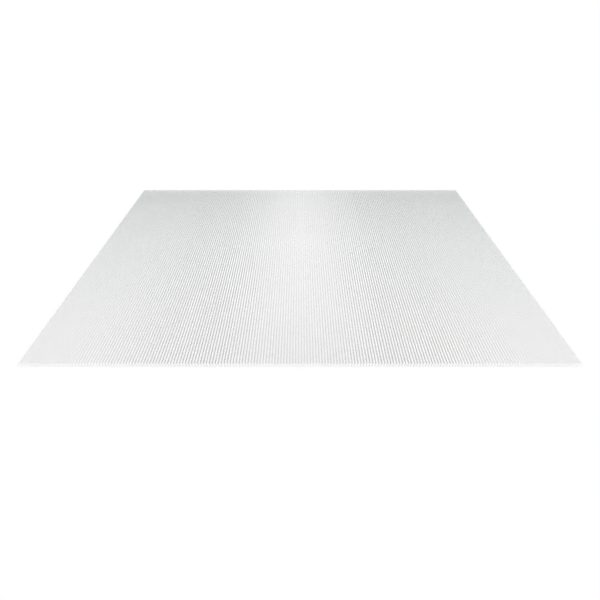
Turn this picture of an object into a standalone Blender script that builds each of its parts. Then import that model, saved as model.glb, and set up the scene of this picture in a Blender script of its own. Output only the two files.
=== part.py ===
"""Twin-wall polycarbonate glazing sheet, 6 mm gauge, lying flat.

The whole sheet is one extrusion: two thin skins held apart by upright ribs, with an open
flute between each pair of ribs. It is extruded along Y, so the flutes open at both sawn ends,
and the outermost wall closes each long edge.
Row frame: +Z up, X across the ribs, Y along the flutes, origin under the middle of the sheet.
"""

import math

import bpy

# Stock size, in metres
WIDTH = 1.050
LENGTH = 2.000
THICKNESS = 0.006

# Walls of the extrusion
SKIN = 0.00036
RIB = 0.00034
SIDE_WALL = 0.00060

# The extrusion die's nominal rib spacing, which is evened out to fill the width
RIB_PITCH = 0.00555

# Rounds that the die leaves inside each flute and on the sheet's long outer corners
ROOT_FILLET = 0.00030
EDGE_ROUND = 0.00040
FILLET_STEPS = 2
EDGE_STEPS = 3

# Clear polycarbonate
SHEET_COLOUR = (0.86, 0.90, 0.90, 1.0)
SHEET_ROUGHNESS = 0.05
POLYCARBONATE_IOR = 1.585


def clear_scene():
    for obj in list(bpy.data.objects):
        bpy.data.objects.remove(obj, do_unlink=True)


def clear_polycarbonate():
    """Glossy see-through polycarbonate with the faint cool cast of a thick stack of it."""
    material = bpy.data.materials.new("clear_polycarbonate")
    material.use_nodes = True
    shader = material.node_tree.nodes["Principled BSDF"]
    shader.inputs["Base Color"].default_value = SHEET_COLOUR
    shader.inputs["Roughness"].default_value = SHEET_ROUGHNESS
    shader.inputs["Metallic"].default_value = 0.0
    shader.inputs["IOR"].default_value = POLYCARBONATE_IOR
    shader.inputs["Transmission Weight"].default_value = 1.0
    return material


def rounded_rectangle(left, right, bottom, top, radius, steps):
    """Points round a rectangle, anticlockwise, with each corner an arc of so many steps."""
    radius = min(radius, 0.45 * (right - left), 0.45 * (top - bottom))
    arc_centres = (
        (right - radius, bottom + radius, -90),
        (right - radius, top - radius, 0),
        (left + radius, top - radius, 90),
        (left + radius, bottom + radius, 180),
    )
    points = []
    for centre_x, centre_y, start in arc_centres:
        for step in range(steps + 1):
            angle = math.radians(start + 90 * step / steps)
            points.append((centre_x + radius * math.cos(angle), centre_y + radius * math.sin(angle)))
    return points


def flute_spans():
    """Left and right wall of each flute, across the sheet: equal flutes, a rib between each two."""
    clear_span = WIDTH - 2 * SIDE_WALL
    flutes = max(1, round((clear_span + RIB) / RIB_PITCH))
    pitch = (clear_span + RIB) / flutes
    first = SIDE_WALL - WIDTH / 2
    return [(first + i * pitch, first + (i + 1) * pitch - RIB) for i in range(flutes)]


def add_outline(section, points):
    spline = section.splines.new("POLY")
    spline.points.add(len(points) - 1)
    for spline_point, (x, y) in zip(spline.points, points):
        spline_point.co = (x, y, 0.0, 1.0)
    spline.use_cyclic_u = True


def sheet_section():
    """The die's cross-section as a filled flat curve: the outer outline, and a hole for each flute."""
    section = bpy.data.curves.new("sheet_section", "CURVE")
    section.dimensions = "2D"
    section.fill_mode = "BOTH"
    section.extrude = LENGTH / 2
    add_outline(section, rounded_rectangle(-WIDTH / 2, WIDTH / 2, 0.0, THICKNESS, EDGE_ROUND, EDGE_STEPS))
    for left, right in flute_spans():
        flute = rounded_rectangle(left, right, SKIN, THICKNESS - SKIN, ROOT_FILLET, FILLET_STEPS)
        add_outline(section, flute)
    return section


def build_sheet(collection):
    """Extrudes the section and lays it flat, with its thickness up and its flutes along Y."""
    sheet = bpy.data.objects.new("multiwall_sheet", sheet_section())
    sheet.rotation_euler = (math.radians(90), 0.0, 0.0)
    sheet.data.materials.append(clear_polycarbonate())
    collection.objects.link(sheet)
    return sheet


def main():
    clear_scene()
    collection = bpy.data.collections.new("multiwall_polycarbonate_sheet")
    bpy.context.scene.collection.children.link(collection)
    build_sheet(collection)


main()
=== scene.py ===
"""Studio look of a clear twin-wall polycarbonate glazing sheet, lying flat on a pale floor.

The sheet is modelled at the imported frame's size: two skins, every rib between them with its
rounded roots, the closed long edges, and sawn ends that are not quite straight. Its faces are
sorted by finish, so that skins, ribs, long edges and sawn ends each get their own plastic.
Units are metres, +Z up, X across the ribs, Y along the flutes.
"""

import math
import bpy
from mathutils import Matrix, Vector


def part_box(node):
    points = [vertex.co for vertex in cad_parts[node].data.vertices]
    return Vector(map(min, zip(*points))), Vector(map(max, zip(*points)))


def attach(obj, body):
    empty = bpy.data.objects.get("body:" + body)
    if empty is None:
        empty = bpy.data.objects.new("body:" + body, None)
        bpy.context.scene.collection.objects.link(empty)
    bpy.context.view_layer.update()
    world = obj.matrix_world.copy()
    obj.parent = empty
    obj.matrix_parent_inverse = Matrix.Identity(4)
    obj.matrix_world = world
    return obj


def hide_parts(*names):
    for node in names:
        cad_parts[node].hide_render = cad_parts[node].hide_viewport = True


bl_info = {
    "name": "Multiwall Polycarbonate Sheet",
    "version": (1, 0, 0),
    "blender": (4, 5, 0),
    "location": "View3D > Sidebar > Glazing",
    "description": "Clear twin-wall glazing sheet on a pale studio floor",
    "category": "Add Mesh",
}

import bmesh
import bpy
from bpy.props import FloatProperty, FloatVectorProperty, IntProperty, PointerProperty
from mathutils import Euler, Matrix, Vector, noise

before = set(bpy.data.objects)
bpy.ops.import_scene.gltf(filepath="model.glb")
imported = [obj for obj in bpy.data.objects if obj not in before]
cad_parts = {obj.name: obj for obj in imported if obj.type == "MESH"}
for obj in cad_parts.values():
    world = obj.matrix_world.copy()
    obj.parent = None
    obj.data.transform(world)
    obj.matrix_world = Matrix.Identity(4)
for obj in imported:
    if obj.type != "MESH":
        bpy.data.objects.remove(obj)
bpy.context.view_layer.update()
SHEET_LOW, SHEET_HIGH = (Vector(corner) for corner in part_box("multiwall_sheet"))


def linear_colour(code):
    """Turns an sRGB hex colour such as "e9edee" into linear red, green and blue."""
    channels = [int(code[i:i + 2], 16) / 255 for i in (0, 2, 4)]
    return tuple(c / 12.92 if c <= 0.04045 else ((c + 0.055) / 1.055) ** 2.4 for c in channels)


# Sizes and colours that a user may change

class SheetSection(bpy.types.PropertyGroup):
    """The extrusion die's section."""

    flutes: IntProperty(
        name="Flutes", description="Open channels side by side across the sheet", default=189, min=1)
    skin: FloatProperty(
        name="Skin", description="Thickness of the top and bottom skin",
        default=0.00036, unit="LENGTH", precision=5)
    rib: FloatProperty(
        name="Rib", description="Thickness of the upright wall between two flutes",
        default=0.00034, unit="LENGTH", precision=5)
    side_wall: FloatProperty(
        name="Side wall", description="Thickness of the wall that closes each long edge",
        default=0.00060, unit="LENGTH", precision=5)
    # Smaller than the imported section's roots, which show as false dark lines at a render's size
    root_radius: FloatProperty(
        name="Root radius", description="Round where a rib meets a skin",
        default=0.00005, unit="LENGTH", precision=5)
    edge_radius: FloatProperty(
        name="Edge radius", description="Round along the sheet's long outer corners",
        default=0.00040, unit="LENGTH", precision=5)
    saw_wander: FloatProperty(
        name="Saw wander", description="How far the sawn ends stray from dead flat",
        default=0.00012, unit="LENGTH", precision=5)


class SheetFinish(bpy.types.PropertyGroup):
    """Colours of the plastic, and the grey of the painted shade over the ribs."""

    skin_colour: FloatVectorProperty(
        name="Skin", description="Cast of the clear skins", subtype="COLOR", size=3,
        min=0.0, max=1.0, default=linear_colour("ffffff"))
    # Painted shade: the grey below is drawn as a soft line over each rib, standing in for the
    # darkening that the clear ribs give through the skin; the peak is how much of the skin it covers.
    rib_shade_colour: FloatVectorProperty(
        name="Haze", description="Grey of the soft line over each rib", subtype="COLOR", size=3,
        min=0.0, max=1.0, default=linear_colour("4a4c4c"))
    rib_shade_peak: FloatProperty(
        name="Haze peak", description="Share of the skin that the haze covers in the middle of a line",
        default=0.71, min=0.0, max=1.0, subtype="FACTOR")
    sawn_colour: FloatVectorProperty(
        name="Sawn end", description="White of the plastic that the saw has frosted", subtype="COLOR",
        size=3, min=0.0, max=1.0, default=linear_colour("fdfefe"))
    sawn_dull: FloatVectorProperty(
        name="Saw marks", description="Duller white in the saw's marks", subtype="COLOR",
        size=3, min=0.0, max=1.0, default=linear_colour("f8fafa"))


class StudioSet(bpy.types.PropertyGroup):
    """Floor, camera and light."""

    floor_size: FloatProperty(
        name="Floor", description="Length of the square floor's side", default=120.0, unit="LENGTH")
    camera_back: FloatProperty(
        name="Camera distance", description="Camera's distance in front of the sheet's middle",
        default=3.291, unit="LENGTH")
    camera_height: FloatProperty(
        name="Camera height", description="Camera's height over the floor",
        default=0.706, unit="LENGTH")
    camera_pitch: FloatProperty(
        name="Camera pitch", description="How far the camera looks down from level",
        default=math.radians(14.15), subtype="ANGLE")
    camera_lens: FloatProperty(
        name="Lens", description="Focal length in millimetres on a 36 mm wide sensor", default=77.1)
    light_level: FloatProperty(
        name="Light level", description="Strength that the shares of the studio's light are taken of",
        default=1.42, min=0.0)


# The sheet's shape

FRONT = SHEET_LOW.y
REAR = SHEET_HIGH.y
ROOT_STEPS = 4
EDGE_STEPS = 4
MERGE = 1e-6

# Waves in each metre of a sawn end
SAW_WAVES = 70.0

# A face is a sawn end's where the Y of its normal is over the first, and a skin's where the X of
# its normal is under the second
END_FACING = 0.9
SKIN_LEAN = 0.15
SKIN_SLOT, OUTER_SLOT, RIB_SLOT, SAWN_SLOT, EDGE_SLOT = range(5)


def upright_rectangle(bm, left, right, bottom, top):
    """A square of 1 m, stood up at the front end and scaled to a flat rectangle of one face."""
    middle = Vector(((left + right) / 2, FRONT, (bottom + top) / 2))
    size = Vector((right - left, top - bottom, 1.0))
    stand_up = Matrix.LocRotScale(middle, Euler((math.radians(90), 0.0, 0.0)), size)
    made = bmesh.ops.create_grid(bm, x_segments=1, y_segments=1, size=0.5, matrix=stand_up)
    return made["verts"]


def round_corners(bm, corners, radius, steps):
    bmesh.ops.bevel(
        bm, geom=corners, offset=radius, offset_type="OFFSET", segments=steps,
        profile=0.5, affect="VERTICES", material=-1)


def open_outline(bm, verts):
    """Drops the face inside an outline and gives back the outline's edges."""
    edges = list({edge for vert in verts for edge in vert.link_edges})
    faces = list({face for vert in verts for face in vert.link_faces})
    bmesh.ops.delete(bm, geom=faces, context="FACES_ONLY")
    return edges


def flute_cell(bm, left, section, pitch):
    """One flute with the half rib on each side of it, as a flat ring of faces."""
    outer = upright_rectangle(bm, left, left + pitch, SHEET_LOW.z, SHEET_HIGH.z)
    outer_edges = open_outline(bm, outer)
    outer_verts = set(outer)
    inner = upright_rectangle(
        bm, left + section.rib / 2, left + pitch - section.rib / 2,
        SHEET_LOW.z + section.skin, SHEET_HIGH.z - section.skin)
    round_corners(bm, inner, section.root_radius, ROOT_STEPS)
    inner_edges = open_outline(bm, [vert for vert in bm.verts if vert not in outer_verts])
    return bmesh.ops.bridge_loops(bm, edges=outer_edges + inner_edges)["faces"]


def side_strip(bm, section, strip):
    """What the left long edge adds to the half rib beside it, with its two outer corners round."""
    left = SHEET_LOW.x
    corners = upright_rectangle(bm, left, left + strip, SHEET_LOW.z, SHEET_HIGH.z)
    outer_corners = [vert for vert in corners if vert.co.x < left + strip / 2]
    round_corners(bm, outer_corners, section.edge_radius, EDGE_STEPS)


def strip_width(section):
    """What is left of a side wall beside the half rib of the outermost flute."""
    return section.side_wall - section.rib / 2


def flute_pitch(section):
    """From the middle of one rib to the middle of the next."""
    return (SHEET_HIGH.x - SHEET_LOW.x - 2 * strip_width(section)) / section.flutes


def front_section(bm, section):
    """The whole section as a flat sheet of faces at the front end."""
    strip = strip_width(section)
    pitch = flute_pitch(section)
    ring = flute_cell(bm, SHEET_LOW.x + strip, section, pitch)
    bmesh.ops.spin(
        bm, geom=ring, angle=0.0, steps=section.flutes - 1, axis=(0.0, 0.0, 1.0),
        dvec=(pitch, 0.0, 0.0), use_duplicate=True)
    side_strip(bm, section, strip)
    left_strip = [face for face in bm.faces if face.calc_center_median().x < SHEET_LOW.x + strip]
    bmesh.ops.mirror(bm, geom=left_strip, axis="X", merge_dist=MERGE)
    bmesh.ops.remove_doubles(bm, verts=bm.verts, dist=MERGE)


def wander_of_saw(bm, section):
    """Draws the sawn ends in by a little here and there, as a hand-held saw leaves them."""
    for vert in bm.verts:
        if FRONT + MERGE < vert.co.y < REAR - MERGE:
            continue
        share = 0.5 + 0.5 * noise.noise(vert.co * SAW_WAVES)
        inward = -1.0 if vert.co.y > 0 else 1.0
        vert.co.y += inward * section.saw_wander * share


def sheet_mesh(section):
    """Extrudes the section along the flutes and sorts its faces by finish."""
    bm = bmesh.new()
    front_section(bm, section)
    length = Vector((0.0, REAR - FRONT, 0.0))
    extruded = bmesh.ops.extrude_face_region(bm, geom=bm.faces[:])["geom"]
    far_end = [item for item in extruded if isinstance(item, bmesh.types.BMVert)]
    bmesh.ops.translate(bm, verts=far_end, vec=length)
    bmesh.ops.recalc_face_normals(bm, faces=bm.faces)
    sort_faces(bm, section)
    wander_of_saw(bm, section)
    mesh = bpy.data.meshes.new("multiwall_sheet_clear")
    bm.to_mesh(mesh)
    bm.free()
    mesh.shade_flat()
    return mesh


def sort_faces(bm, section):
    """Gives each face its material slot, by where it lies and which way it looks."""
    edge_zone = SHEET_HIGH.x - section.side_wall / 2
    for face in bm.faces:
        centre = face.calc_center_median()
        if abs(face.normal.y) > END_FACING:
            face.material_index = SAWN_SLOT
        elif abs(centre.x) > edge_zone:
            face.material_index = EDGE_SLOT
        elif abs(face.normal.x) < SKIN_LEAN:
            is_outer = centre.z > SHEET_HIGH.z - section.skin / 2
            face.material_index = OUTER_SLOT if is_outer else SKIN_SLOT
        else:
            face.material_index = RIB_SLOT


# Materials

def add_node(tree, kind, settings=None, inputs=None):
    """Adds one node, with its settings, and its inputs set to values or linked to outputs."""
    node = tree.nodes.new(kind)
    for name, value in (settings or {}).items():
        setattr(node, name, value)
    for name, value in (inputs or {}).items():
        if isinstance(value, bpy.types.NodeSocket):
            tree.links.new(value, node.inputs[name])
        else:
            node.inputs[name].default_value = value
    return node


def new_material(name):
    """A new material, with its node tree and its shader."""
    material = bpy.data.materials.new(name)
    material.use_nodes = True
    tree = material.node_tree
    return material, tree, tree.nodes["Principled BSDF"]


def opaque(colour):
    return (*colour, 1.0)


def set_stops(ramp, stops):
    """Sets a ramp's stops, each a position with a share from 0 to 1 or with a hex colour."""
    elements = ramp.color_ramp.elements
    while len(elements) < len(stops):
        elements.new(1.0)
    for element, (position, value) in zip(elements, stops):
        element.position = position
        element.color = opaque(linear_colour(value) if isinstance(value, str) else [value] * 3)


# The noise behind a grain seldom leaves this range
GRAIN_LOW = 0.3
GRAIN_HIGH = 0.7


def grain(tree, size, detail):
    """Uneven grain in the sheet's own coordinates, with its size along each axis in metres."""
    place = add_node(tree, "ShaderNodeTexCoord").outputs["Object"]
    scaled = add_node(tree, "ShaderNodeMapping", inputs={
        "Vector": place, "Scale": tuple(1.0 / length for length in size)})
    return add_node(tree, "ShaderNodeTexNoise", inputs={
        "Vector": scaled.outputs["Vector"], "Scale": 1.0, "Detail": detail}).outputs["Fac"]


def worn_gloss(tree, shader, pattern, dull, relief):
    """Lets a pattern vary the roughness between two values and raise a relief of so many metres."""
    roughness = add_node(tree, "ShaderNodeMapRange", inputs={
        "Value": pattern, "From Min": GRAIN_LOW, "From Max": GRAIN_HIGH,
        "To Min": dull[0], "To Max": dull[1]})
    tree.links.new(roughness.outputs["Result"], shader.inputs["Roughness"])
    bump = add_node(tree, "ShaderNodeBump", inputs={
        "Height": pattern, "Distance": relief, "Strength": 1.0})
    tree.links.new(bump.outputs["Normal"], shader.inputs["Normal"])


POLYCARBONATE_IOR = 1.585

# The lips of the die leave streaks about 0.3 mm apart along the flutes. The eye sees them only
# as a faint unevenness of the gloss, so they are drawn 4 mm apart on the skins and ribs, and
# 1 mm apart on the narrow long edges. Each size is along X, Y and Z.
DIE_STREAK = (0.004, 0.600, 0.004)
EDGE_STREAK = (0.004, 0.600, 0.001)
STREAK_DETAIL = 2.0
DIE_RELIEF = 0.000002

# Least and most roughness of each finish
SKIN_DULL = (0.0, 0.03)
RIB_DULL = (0.0, 0.04)
EDGE_DULL = (0.03, 0.12)
SAWN_DULL = (0.45, 0.65)


def extruded_plastic(name, finish, streak, dull):
    """Extruded polycarbonate, colourless and see-through, with the die's streaks in its gloss."""
    material, tree, clear = new_material(name)
    clear.inputs["Base Color"].default_value = opaque(finish.skin_colour)
    clear.inputs["IOR"].default_value = POLYCARBONATE_IOR
    clear.inputs["Transmission Weight"].default_value = 1.0
    worn_gloss(tree, clear, grain(tree, streak, STREAK_DETAIL), dull, DIE_RELIEF)
    return material, tree, clear


def clear_skin(finish):
    """Bright from the die: all gloss, with faint streaks along the flutes."""
    return extruded_plastic("polycarbonate_skin", finish, DIE_STREAK, SKIN_DULL)[0]


# Each rib shows through the outer skin as a soft grey line, which is painted shade. A rib is finer
# than a pixel of the render, so the darkening that the clear rib gives through the skin is drawn as
# grey on the skin, one line over each rib. The contrast of the lines is set after the photo's, at
# shares of the way from the sheet's middle line to a long edge. In the photo it comes from the light
# and the angle, and here it stays with the sheet. The mean of this painted shade is the same all
# over, but for a little less just before a sawn end, a painted lightening where light comes in there.
LINE_CONTRAST = (
    (0.0, 0.2), (0.15, 0.35), (0.3, 1.0), (0.45, 0.95), (0.6, 0.55), (0.75, 0.25), (0.9, 0.0))
LINE_SHARPNESS = 4
# Over this last stretch before a sawn end the painted shade thins to this share of its peak, a painted
# lightening where light comes in at the cut end.
THIN_STRETCH = 0.007
THIN_SHARE = 0.9

# A line is half a cosine wave's swell to the power of its sharpness, and this is its mean
LINE_MEAN = math.comb(2 * LINE_SHARPNESS, LINE_SHARPNESS) / 4 ** LINE_SHARPNESS


def rib_shade_cover(tree, finish, section):
    """How much of the outer skin the painted rib shade covers, as an output from 0 to 1."""
    radians_per_metre = 2 * math.pi / flute_pitch(section)
    first_rib = SHEET_LOW.x + strip_width(section)
    coordinates = add_node(tree, "ShaderNodeTexCoord").outputs["Object"]
    place = add_node(tree, "ShaderNodeSeparateXYZ", inputs={"Vector": coordinates}).outputs
    turn = add_node(tree, "ShaderNodeMath", {"operation": "MULTIPLY_ADD"},
                    {0: place["X"], 1: radians_per_metre, 2: -first_rib * radians_per_metre})
    wave = add_node(tree, "ShaderNodeMath", {"operation": "COSINE"}, {0: turn.outputs[0]})
    swell = add_node(tree, "ShaderNodeMath", {"operation": "MULTIPLY_ADD"},
                     {0: wave.outputs[0], 1: 0.5, 2: 0.5})
    line = add_node(tree, "ShaderNodeMath", {"operation": "POWER"},
                    {0: swell.outputs[0], 1: LINE_SHARPNESS})
    above = add_node(tree, "ShaderNodeMath", {"operation": "SUBTRACT"},
                     {0: line.outputs[0], 1: LINE_MEAN})
    aside = add_node(tree, "ShaderNodeMath", {"operation": "ABSOLUTE"}, {0: place["X"]})
    across = add_node(tree, "ShaderNodeMath", {"operation": "DIVIDE"},
                      {0: aside.outputs[0], 1: SHEET_HIGH.x})
    contrast = add_node(tree, "ShaderNodeValToRGB", inputs={"Fac": across.outputs[0]})
    set_stops(contrast, LINE_CONTRAST)
    painted_shade = add_node(tree, "ShaderNodeMath", {"operation": "MULTIPLY_ADD"},
                    {0: contrast.outputs["Color"], 1: above.outputs[0], 2: LINE_MEAN})
    # Painted lightening: just before a sawn end the painted shade thins, where light comes in at the
    # cut end.
    along = add_node(tree, "ShaderNodeMath", {"operation": "ABSOLUTE"}, {0: place["Y"]})
    peak = add_node(tree, "ShaderNodeMapRange", inputs={
        "Value": along.outputs[0], "From Min": REAR - THIN_STRETCH, "From Max": REAR,
        "To Min": finish.rib_shade_peak, "To Max": finish.rib_shade_peak * THIN_SHARE})
    return add_node(tree, "ShaderNodeMath", {"operation": "MULTIPLY"},
                    {0: painted_shade.outputs[0], 1: peak.outputs["Result"]}).outputs[0]


def outer_skin(finish, section):
    """The glossy face that looks up, with a soft grey line of painted shade over each rib."""
    material, tree, clear = extruded_plastic(
        "polycarbonate_outer_skin", finish, DIE_STREAK, SKIN_DULL)
    # Painted shade: grey matt lines over the ribs, mixed into the clear skin by the cover.
    grey = add_node(tree, "ShaderNodeBsdfDiffuse", inputs={"Color": opaque(finish.rib_shade_colour)})
    mixed = add_node(tree, "ShaderNodeMixShader", inputs={
        0: rib_shade_cover(tree, finish, section), 1: clear.outputs[0], 2: grey.outputs[0]})
    tree.links.new(mixed.outputs[0], tree.nodes["Material Output"].inputs["Surface"])
    return material


def rib(finish):
    """The ribs cool last, between the skins, and come out a little duller than them."""
    return extruded_plastic("polycarbonate_rib", finish, DIE_STREAK, RIB_DULL)[0]


def long_edge(finish):
    """The long edges slide along the calibrator as they set, which dulls them in fine streaks."""
    return extruded_plastic("polycarbonate_edge", finish, EDGE_STREAK, EDGE_DULL)[0]


# A fine-toothed saw leaves marks about 1 mm apart, drawn 5 mm apart so that they show along
# the sawn end. They stand upright, so their size is larger along Z.
SAW_MARK = (0.005, 1.0, 0.020)
SAW_DETAIL = 3.0
SAW_RELIEF = 0.00005


def sawn_end(finish):
    """Sawn polycarbonate: frosted white, matt, with the teeth's upright marks."""
    material, tree, shader = new_material("polycarbonate_sawn")
    marks = grain(tree, SAW_MARK, SAW_DETAIL)
    white = add_node(tree, "ShaderNodeMixRGB", inputs={
        "Fac": marks, "Color1": opaque(finish.sawn_dull), "Color2": opaque(finish.sawn_colour)})
    tree.links.new(white.outputs[0], shader.inputs["Base Color"])
    worn_gloss(tree, shader, marks, SAWN_DULL, SAW_RELIEF)
    shader.inputs["IOR"].default_value = POLYCARBONATE_IOR
    return material


# Stage

# The studio's white walls and soft light, as the sheet's gloss shows them. A program solved these
# stops from this one photo's brightness, and they were then thinned and rounded. Each pair
# is a height over the horizon, as the Z of a direction, and the light there: towards the ends of
# the sheet, and aside. How far a direction leans aside, as its X for each unit of Z, gives the
# share of the side's light and the level of both.
LIGHT_AHEAD = (
    (0.13, "e6e6e6"), (0.155, "d6d8d8"), (0.17, "eeeeee"), (0.20, "f8f8f8"), (0.25, "f6f6f6"),
    (0.33, "e6e6e6"))
LIGHT_ASIDE = (
    (0.13, "e6e6e6"), (0.155, "bcc0bf"), (0.17, "dadedd"), (0.20, "e9ecec"), (0.25, "f7f7f7"),
    (0.29, "ffffff"), (0.33, "e6e6e6"))
SIDE_SHARE = ((0.0, 0.0), (0.2, 0.3), (0.4, 0.7), (0.6, 1.0), (0.8, 1.0), (1.0, 0.2))
LEAN_LEVEL = (
    (0.0, 1.0), (0.1, 0.98), (0.25, 0.86), (0.4, 0.88), (0.6, 0.97), (0.8, 0.98), (1.0, 0.9))

# Keeps the lean from growing without end at the horizon
LEAST_HEIGHT = 0.02

# How much of the floor's own paint, which takes the shadow, shows through its even white
SHADE_SHARE = 0.1

# The sheet's underside stays clear of the floor by this much
FLOOR_DROP = 0.0004
FLOOR_PAINT = "ffffff"


def studio_light(studio):
    """Plain soft light all round, with a darker foot and a brighter band low over the horizon."""
    world = bpy.data.worlds.new("soft_studio")
    world.use_nodes = True
    tree = world.node_tree
    tree.nodes.clear()
    way = add_node(tree, "ShaderNodeTexCoord").outputs["Generated"]
    parts = add_node(tree, "ShaderNodeSeparateXYZ", inputs={"Vector": way})
    side = add_node(tree, "ShaderNodeMath", {"operation": "ABSOLUTE"}, {0: parts.outputs["X"]})
    up = add_node(tree, "ShaderNodeMath", {"operation": "MAXIMUM"},
                  {0: parts.outputs["Z"], 1: LEAST_HEIGHT})
    lean = add_node(tree, "ShaderNodeMath", {"operation": "DIVIDE"},
                    {0: side.outputs[0], 1: up.outputs[0]})
    ahead = add_node(tree, "ShaderNodeValToRGB", inputs={"Fac": parts.outputs["Z"]})
    set_stops(ahead, LIGHT_AHEAD)
    aside = add_node(tree, "ShaderNodeValToRGB", inputs={"Fac": parts.outputs["Z"]})
    set_stops(aside, LIGHT_ASIDE)
    share = add_node(tree, "ShaderNodeValToRGB", inputs={"Fac": lean.outputs[0]})
    set_stops(share, SIDE_SHARE)
    both = add_node(tree, "ShaderNodeMixRGB", inputs={
        "Fac": share.outputs["Color"],
        "Color1": ahead.outputs["Color"], "Color2": aside.outputs["Color"]})
    level = add_node(tree, "ShaderNodeValToRGB", inputs={"Fac": lean.outputs[0]})
    set_stops(level, LEAN_LEVEL)
    strength = add_node(tree, "ShaderNodeMath", {"operation": "MULTIPLY"},
                        {0: level.outputs["Color"], 1: studio.light_level})
    light = add_node(tree, "ShaderNodeBackground", inputs={
        "Color": both.outputs[0], "Strength": strength.outputs[0]})
    add_node(tree, "ShaderNodeOutputWorld", inputs={"Surface": light.outputs[0]})
    bpy.context.scene.world = world


def white_floor_material():
    """Matt white floor, plain white to the camera and in gloss, that still takes a shadow."""
    material = bpy.data.materials.new("matt_white_floor")
    material.use_nodes = True
    tree = material.node_tree
    tree.nodes.clear()
    ray = add_node(tree, "ShaderNodeLightPath").outputs
    seen_or_mirrored = add_node(tree, "ShaderNodeMath", {"operation": "MAXIMUM"},
                                {0: ray["Is Camera Ray"], 1: ray["Is Glossy Ray"]})
    seen = add_node(tree, "ShaderNodeMath", {"operation": "MAXIMUM"},
                    {0: seen_or_mirrored.outputs[0], 1: ray["Is Transmission Ray"]})
    share = add_node(tree, "ShaderNodeMath", {"operation": "MULTIPLY"},
                     {0: seen.outputs[0], 1: 1 - SHADE_SHARE})
    paint = add_node(tree, "ShaderNodeBsdfDiffuse", inputs={
        "Color": opaque(linear_colour(FLOOR_PAINT))})
    glow = add_node(tree, "ShaderNodeEmission", inputs={"Strength": 1.0})
    mixed = add_node(tree, "ShaderNodeMixShader",
                     inputs={0: share.outputs[0], 1: paint.outputs[0], 2: glow.outputs[0]})
    add_node(tree, "ShaderNodeOutputMaterial", inputs={"Surface": mixed.outputs[0]})
    return material


# Light crosses many thin walls before it leaves the sheet
CLEAR_BOUNCES = 32
GLOSS_BOUNCES = 8

# Width of the filter in pixels, which softens the beat between the finest lines and the pixels
LENS_SOFTNESS = 1.9

# How far the camera sees, which takes in the whole floor
VIEW_DEPTH = 300.0


class GLAZING_OT_stage(bpy.types.Operator):
    """Lay the pale floor, light the studio and set the camera"""

    bl_idname = "glazing.stage"
    bl_label = "Studio Stage"

    def execute(self, context):
        studio = context.scene.glazing_studio
        half = studio.floor_size / 2
        bm = bmesh.new()
        bmesh.ops.create_grid(bm, x_segments=1, y_segments=1, size=half)
        bmesh.ops.translate(bm, verts=bm.verts, vec=(0.0, 0.0, SHEET_LOW.z - FLOOR_DROP))
        mesh = bpy.data.meshes.new("studio_floor")
        bm.to_mesh(mesh)
        bm.free()
        mesh.materials.append(white_floor_material())
        floor = bpy.data.objects.new("studio_floor", mesh)
        context.scene.collection.objects.link(floor)
        studio_light(studio)
        self.set_camera(context, studio)
        context.scene.view_settings.view_transform = "Standard"
        return {"FINISHED"}

    @staticmethod
    def set_camera(context, studio):
        data = bpy.data.cameras.new("studio_camera")
        data.lens = studio.camera_lens
        data.clip_end = VIEW_DEPTH
        camera = bpy.data.objects.new("studio_camera", data)
        camera.location = (0.0, -studio.camera_back, studio.camera_height)
        camera.rotation_euler = (math.radians(90) - studio.camera_pitch, 0.0, 0.0)
        context.scene.collection.objects.link(camera)
        context.scene.camera = camera
        cycles = context.scene.cycles
        cycles.max_bounces = CLEAR_BOUNCES
        cycles.transmission_bounces = CLEAR_BOUNCES
        cycles.glossy_bounces = GLOSS_BOUNCES
        cycles.use_adaptive_sampling = False
        cycles.filter_width = LENS_SOFTNESS


class GLAZING_OT_sheet(bpy.types.Operator):
    """Build the clear twin-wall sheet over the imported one"""

    bl_idname = "glazing.sheet"
    bl_label = "Twin-wall Sheet"

    def execute(self, context):
        section = context.scene.glazing_section
        finish = context.scene.glazing_finish
        mesh = sheet_mesh(section)
        for material in (clear_skin(finish), outer_skin(finish, section),
                         rib(finish), sawn_end(finish), long_edge(finish)):
            mesh.materials.append(material)
        sheet = bpy.data.objects.new("multiwall_sheet_clear", mesh)
        context.scene.collection.objects.link(sheet)
        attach(sheet, "root")
        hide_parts("multiwall_sheet")
        return {"FINISHED"}


class GLAZING_PT_panel(bpy.types.Panel):
    """Lists the steps that build the sheet and its studio"""

    bl_idname = "GLAZING_PT_panel"
    bl_label = "Multiwall Sheet"
    bl_space_type = "VIEW_3D"
    bl_region_type = "UI"
    bl_category = "Glazing"

    def draw(self, context):
        layout = self.layout
        for operator in (GLAZING_OT_stage, GLAZING_OT_sheet):
            layout.operator(operator.bl_idname)
        for group in ("glazing_section", "glazing_finish", "glazing_studio"):
            settings = getattr(context.scene, group)
            box = layout.box()
            for name in settings.bl_rna.properties.keys():
                if name not in ("rna_type", "name"):
                    box.prop(settings, name)


CLASSES = (
    SheetSection, SheetFinish, StudioSet, GLAZING_OT_stage, GLAZING_OT_sheet, GLAZING_PT_panel)


def register():
    for each in CLASSES:
        bpy.utils.register_class(each)
    bpy.types.Scene.glazing_section = PointerProperty(type=SheetSection)
    bpy.types.Scene.glazing_finish = PointerProperty(type=SheetFinish)
    bpy.types.Scene.glazing_studio = PointerProperty(type=StudioSet)


def unregister():
    del bpy.types.Scene.glazing_studio
    del bpy.types.Scene.glazing_finish
    del bpy.types.Scene.glazing_section
    for each in reversed(CLASSES):
        bpy.utils.unregister_class(each)


def main():
    register()
    bpy.ops.glazing.stage()
    bpy.ops.glazing.sheet()


if __name__ == "__main__":
    main()
